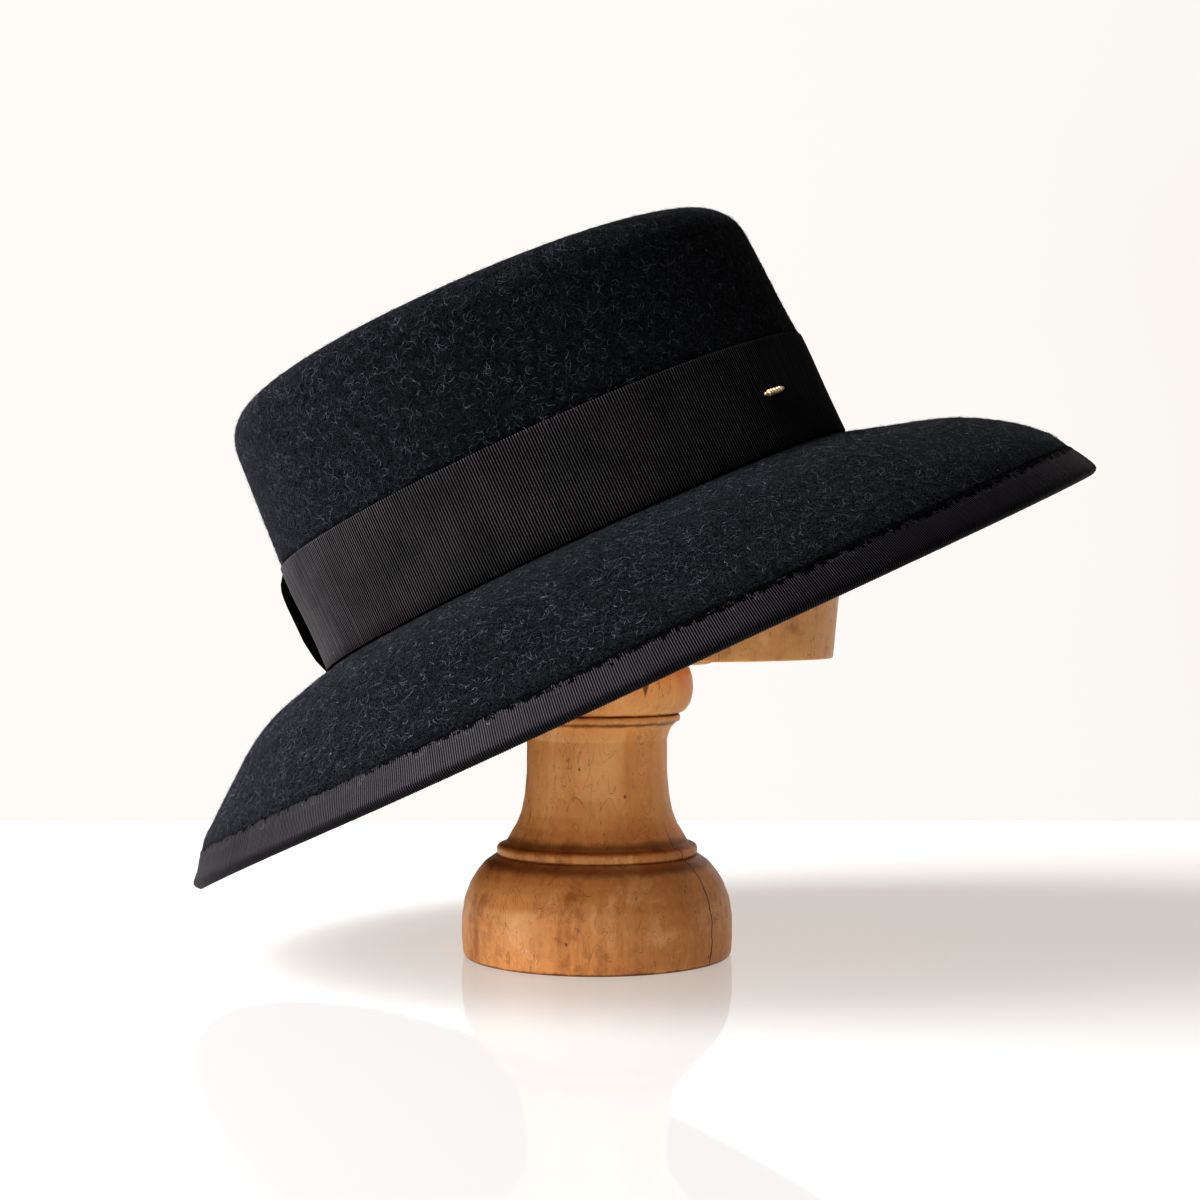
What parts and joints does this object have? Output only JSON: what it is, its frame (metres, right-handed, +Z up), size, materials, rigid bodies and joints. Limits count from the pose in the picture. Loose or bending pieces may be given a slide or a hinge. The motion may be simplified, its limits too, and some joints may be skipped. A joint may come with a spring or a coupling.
{
  "type": "felt cloche hat on a wooden stand",
  "caption": "Felt hat with a flat oval crown, wide turned-down brim bound with ribbon, ribbon band with a flat bow, tipped on a plain turned wooden hat stand.",
  "frame": {"origin": "centre of the stand's round foot on the surface it stands on", "axes": "+Z up, +X towards the raised front of the hat, +Y towards the hat's left side, where the bow is"},
  "size_m": [0.3165, 0.3155, 0.2664],
  "materials": {
    "felt": "matte wool felt",
    "ribbon": "ribbed ribbon with a low sheen",
    "gilt": "polished gilt",
    "wood": "aged and waxed, with fine cracks"
  },
  "bodies": {
    "root": {"felt_body": "felt", "brim_binding": "ribbon", "hat_band": "ribbon", "bow_loops": "ribbon", "bow_knot": "ribbon", "bar_pin": "gilt", "stand_block": "wood", "stand_disc": "wood", "stand_pedestal": "wood"}
  },
  "joints": []
}
